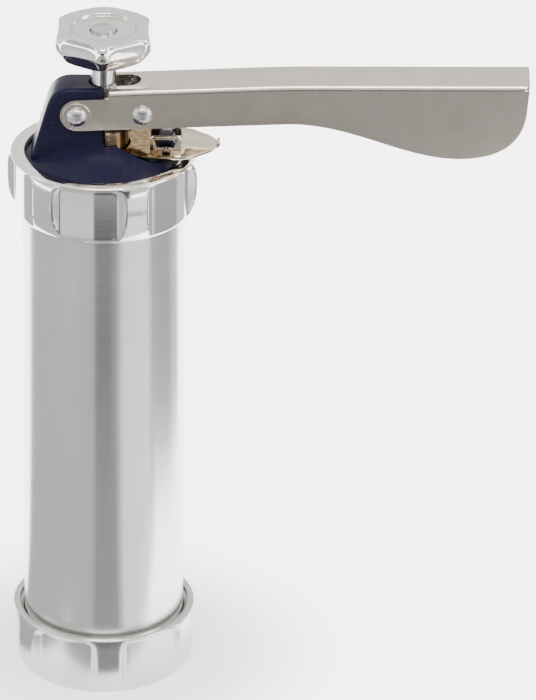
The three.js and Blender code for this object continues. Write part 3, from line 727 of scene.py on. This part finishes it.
def make_lever():
    """Folded sheet: a rounded channel drawn along the lever's line, cut to its side outline."""
    depth = 32
    bend = arc(-ARM_OUTER + 2, -2, 2, 180, 90, 6)
    inner = arc(-ARM_INNER + 0.8, -SHEET - 0.8, 0.8, 90, 180, 4)
    left = [(-ARM_OUTER, -depth)] + bend
    left_inner = inner + [(-ARM_INNER, -depth)]
    right = [(-y, z) for y, z in reversed(left)]
    right_inner = [(-y, z) for y, z in reversed(left_inner)]
    section = left + right + right_inner + left_inner
    fresh()
    bpy.ops.mesh.primitive_circle_add(vertices=len(section), radius=MM, fill_type="NGON")
    lever = bpy.context.object
    lever.name = "folded_lever"
    at = -5.9
    for point, (y, z) in zip(lever.data.vertices, section):
        point.co = ((at + PIVOT[0]) * MM, y * MM, (z + web_height(at) + PIVOT[1]) * MM)
    bpy.ops.object.mode_set(mode="EDIT")
    bpy.ops.mesh.select_all(action="SELECT")
    steps = 44
    step = (LEVER_END + 2 - at) / steps
    for i in range(steps):
        rise = web_height(at + step) - web_height(at)
        bpy.ops.mesh.extrude_region_move(TRANSFORM_OT_translate={"value": (step * MM, 0, rise * MM)})
        at += step
    tidy(lever)
    side = drawn("side", lever_side(), -9, 9, side_view=True)
    worked(lever, [side], "INTERSECT")
    end = 18.7 + PIVOT[0] - ROD_HOLE
    slot = [(-14.5, -4.0)] + arc(end, 0, ROD_HOLE, -90, 90, 16) + [(-14.5, 4.0)]
    holes = [
        drawn("slot", slot, PIVOT[1] + 4.9, PIVOT[1] + 16),
        cross_bar("pivot_hole", 2.3, 10, *PIVOT),
        cross_bar("pawl_hole", 2.1, 10, *PAWL_RIVET),
    ]
    # The web's end corners are rounded off in plan.
    corner = 2.4
    clear = 9
    web_end = LEVER_END + PIVOT[0]
    for way in (1, -1):
        x, y = web_end - corner, way * (ARM_OUTER - corner)
        outline = arc(x, y, corner, 90 * way, 0, 12)
        outline += [(web_end + 2, y), (web_end + 2, way * clear), (x, way * clear)]
        holes.append(drawn("corner", outline, PIVOT[1] + 9.4, PIVOT[1] + 16))
    return worked(lever, holes, "DIFFERENCE")


# ---------- catch plate ----------
def make_catch():
    """A leaf with horns and a rolled tip, and an ear with a tapered window on each side."""
    under, top = 170.65, 171.65
    plate = drawn("leaf", plate_outline(0), under, top)
    eased(plate, 0.22, 2, 60)
    bend, crest = (34.3, under + 1.2), under + 1.85
    curl = [(31.5, under)]
    curl += bezier((32.2, under), (33.8, under), (34.3, under + 0.4), bend, 6)
    curl += bezier(bend, (34.3, crest), (33.1, crest), (33.1, under + 1.1), 6)
    curl += [(32.6, top)]
    tip = eased(drawn("tip", curl, -2.1, 2.1, side_view=True), 0.15, 2, 60)
    worked(plate, [tip], "UNION")
    room = turn("shoe_room", [(8.0, under - 2), (8.0, top + 2)], 64)
    opening = block("opening", 13.9, 22.7, -6.5, 6.5, under - 2, top + 2)
    worked(plate, [room, opening], "DIFFERENCE")
    front, back = 13.6, 23.0
    ear_top = top + 5
    outline = [
        (front, under), (back, under), (back - 0.25, ear_top - 1.2), (back - 0.5, ear_top - 0.5),
        (back - 1.1, ear_top), (front + 1.1, ear_top), (front + 0.5, ear_top - 0.5),
        (front + 0.25, ear_top - 1.2),
    ]
    head, sill = ear_top - 0.9, top + 1.3
    window = [(front + 1.3, head), (front + 2.3, sill), (back - 2.3, sill), (back - 1.3, head)]
    for low, high in ((6.5, 7.5), (-7.5, -6.5)):
        ear = drawn("ear", outline, low, high, side_view=True)
        hole = drawn("window", window, low - 1, high + 1, side_view=True)
        worked(ear, [hole], "DIFFERENCE")
        eased(ear, 0.2, 3, 50)
        worked(plate, [ear], "UNION")
    return worked(plate, [cross_bar("pin_hole", 1.2, 9, *CATCH_PIN)], "DIFFERENCE")


# ---------- the pieces in place ----------
placed(make_tube(), "barrel_tube", "barrel", tube_metal)
placed(make_disc(), "outlet_disc", "outlet", disc_metal)
placed(make_base_collar(), "bottom_collar", "bottom_collar", shaded_base_collar_metal)
placed(make_top_collar(), "top_collar", "top_collar", top_collar_metal)
placed(make_rod(), "ratchet_rod", "rod", rod_metal, 30)
placed(make_knob(), "pull_knob", "rod", knob_metal, 40)
placed(make_head(), "head_housing", "head", navy_plastic, 30)
placed(make_shoe(), "rod_shoe", "head", bronze_and_painted_shade)
placed(make_rivet("pivot_rivet", 2.0, 8.2, PIVOT), "lever_pivot_rivet", "head", rivet_metal)
placed(make_rivet("pawl_axle", 1.8, 7.65, PAWL_RIVET), "pawl_rivet", "lever", rivet_metal)
placed(make_washer("near_washer", 1), "pivot_washer_front", "head", lever_metal)
placed(make_washer("far_washer", -1), "pivot_washer_rear", "head", lever_metal)
# The pin takes the dark bronze as painted shade inside the ear's window.
placed(make_pin(), "catch_pin", "head", bronze_and_painted_shade)
placed(make_lever(), "lever_channel", "lever", lever_metal, 30)
placed(make_catch(), "catch_plate", "catch", catch_metal)

KEPT = {
    "piston_disc": bush_plastic,
    "rod_bushing": bush_plastic,
    "piston_washer": rivet_metal,
    "piston_screw": rivet_metal,
    "drive_pawl": rivet_metal,
    "pawl_spacer_front": rivet_metal,
    "pawl_spacer_rear": rivet_metal,
    "pawl_spring": rod_metal,
    "catch_spring": rod_metal,
}
for name, finish in KEPT.items():
    nodes[name].data.materials.clear()
    nodes[name].data.materials.append(finish)


# ---------- floor, cards and light ----------
# The floor is plain round the press, save for a painted shadow where its glow is dimmed near the
# base. Beyond the camera's view, glowing grey cards lie on it and a dark board stands on it, for the
# bright metal to reflect.
def plain(name, color, glow):
    """A plain painted surface that may glow evenly."""
    f = Finish(name, color, 0, 1.0)
    f.color(f.blend(f.noise(f.place, 6, 2), tuple(0.98 * c for c in color), color))
    f.shader.inputs["Emission Color"].default_value = (1, 1, 1, 1)
    f.shader.inputs["Emission Strength"].default_value = glow
    return f.material


def painted_contact_shadow(material, inner, outer, low, high):
    """Painted shadow: the floor's glow grows with the distance from the press's axis, so the floor is
    dimmer round its base.
    """
    tree = material.node_tree
    away = tree.nodes.new("ShaderNodeVectorMath")
    away.operation = "LENGTH"
    tree.links.new(tree.nodes["Texture Coordinate"].outputs["Object"], away.inputs[0])
    grow = map_range(tree, away.outputs["Value"], low, high, inner, outer)
    grow.interpolation_type = "SMOOTHSTEP"
    glow = tree.nodes["Principled BSDF"].inputs["Emission Strength"]
    tree.links.new(grow.outputs["Result"], glow)


def card(name, points, height, color, glow):
    """A flat card given by its corners in plan, in metres, lying at a height."""
    fresh()
    bpy.ops.mesh.primitive_circle_add(vertices=len(points), radius=1, fill_type="NGON")
    piece = bpy.context.object
    piece.name = name
    for point, (x, y) in zip(piece.data.vertices, points):
        point.co = (x, y, height)
    piece.data.materials.append(plain(name + "_paint", color, glow))
    fresh()
    return piece


def nearest(azimuth):
    """How near the press a card may begin, by azimuth from the front towards the lever."""
    x, y = math.sin(azimuth * DEG), -math.cos(azimuth * DEG)
    reach = 2.0
    if y < 0:
        reach = min(reach, 0.037 / -y)
    if x < 0:
        reach = min(reach, 0.035 / -x)
    if x > 0:
        reach = min(reach, 0.14 / x)
    return reach


def fan(name, start, end, glow, near=0.0, far=1.8, height=0.002):
    """A card on the floor between two azimuths, from the front towards the lever."""
    steps = max(2, round(abs(end - start) / 4))
    angles = [start + (end - start) * i / steps for i in range(steps + 1)]
    inner = [(a, max(nearest(a), near)) for a in angles]
    outer = [(a, far) for a in reversed(angles)]
    points = [(r * math.sin(a * DEG), -r * math.cos(a * DEG)) for a, r in inner + outer]
    card(name, points, height, (0.05, 0.05, 0.05), glow)


FLOOR_GLOW = 4.2
floor = card("floor", [(-6, -6), (6, -6), (6, 6), (-6, 6)], 0, (0.9, 0.9, 0.9), FLOOR_GLOW)
# Painted shadow: the floor glows less close round the base of the press.
painted_contact_shadow(floor.data.materials[0], 0.03, 0.085, 1.2, FLOOR_GLOW)
fan("card_left", -122, -11, 0.6)
fan("card_left_collar", -56, -11, 1.0, 0.32, 0.366, 0.004)
fan("card_front_near", -11, 20, 0.3, 0, 0.2)
fan("card_front_dark", -11, 12, 0.03, 0.2, 0.32)
fan("card_front_dim", 12, 20, 0.28, 0.2, 0.32)
fan("card_front_band", -11, 20, 0.03, 0.32, 0.362)
fan("card_front_far", -11, 25, 0.36, 0.362)
fan("card_right_edge", 20, 25, 0.7, 0, 0.362)
fan("card_right", 25, 68, 1.5)
fan("card_right_wall", 25, 46, 0.25, 0.32, 0.352, 0.004)
fan("card_right_land", 46, 68, 0.7, 0.32, 0.352, 0.004)
fan("card_right_side", 68, 108, 0.4)
fan("card_right_back", 108, 128, 0.9)

board = block("dark_board", -900, 900, -1450, -1440, 0, 420)
board.data.materials.append(plain("dark_board_paint", (0.05, 0.05, 0.05), 0))


def lamp(name, place, size, energy, aim):
    light = bpy.data.lights.new(name, "AREA")
    light.shape = "RECTANGLE"
    light.size, light.size_y = size
    light.energy = energy
    holder = bpy.data.objects.new(name, light)
    bpy.context.collection.objects.link(holder)
    holder.location = place
    holder.rotation_euler = (Vector(aim) - Vector(place)).to_track_quat("-Z", "Y").to_euler()


lamp("soft_front", (0.05, -1.1, 1.75), (1.3, 0.22), 20, (0.03, 0, 0.15))
lamp("soft_right", (1.4, -0.5, 0.8), (0.7, 0.9), 8, (0.03, 0, 0.15))
lamp("soft_left", (-1.4, -0.1, 0.8), (0.5, 0.9), 2, (0.0, 0, 0.15))

# The room is a little brighter overhead than at the horizon.
HORIZON_LIGHT = 0.9
OVERHEAD_LIGHT = 1.35
world = bpy.data.worlds.new("studio")
world.use_nodes = True
studio = world.node_tree
direction = studio.nodes.new("ShaderNodeTexCoord").outputs["Generated"]
parts = studio.nodes.new("ShaderNodeSeparateXYZ")
studio.links.new(direction, parts.inputs["Vector"])
fade = map_range(studio, parts.outputs["Z"], HORIZON_LIGHT, OVERHEAD_LIGHT, 0.02, 0.4)
studio.links.new(fade.outputs["Result"], studio.nodes["Background"].inputs["Strength"])
studio.nodes["Background"].inputs["Color"].default_value = (1, 0.985, 0.97, 1)
bpy.context.scene.world = world

# ---------- camera ----------
eye = bpy.data.cameras.new("camera")
eye.lens = 364.1
eye.sensor_width = 36
eye.clip_end = 20
camera = bpy.data.objects.new("camera", eye)
bpy.context.collection.objects.link(camera)
camera.location = (0.04896, -1.8819, 1.0594)
look = Vector((0, 0.8916, -0.4529)).to_track_quat("-Z", "Y")
camera.rotation_mode = "QUATERNION"
camera.rotation_quaternion = look @ Quaternion((0, 0, 1), 0.65 * DEG)
bpy.context.scene.camera = camera
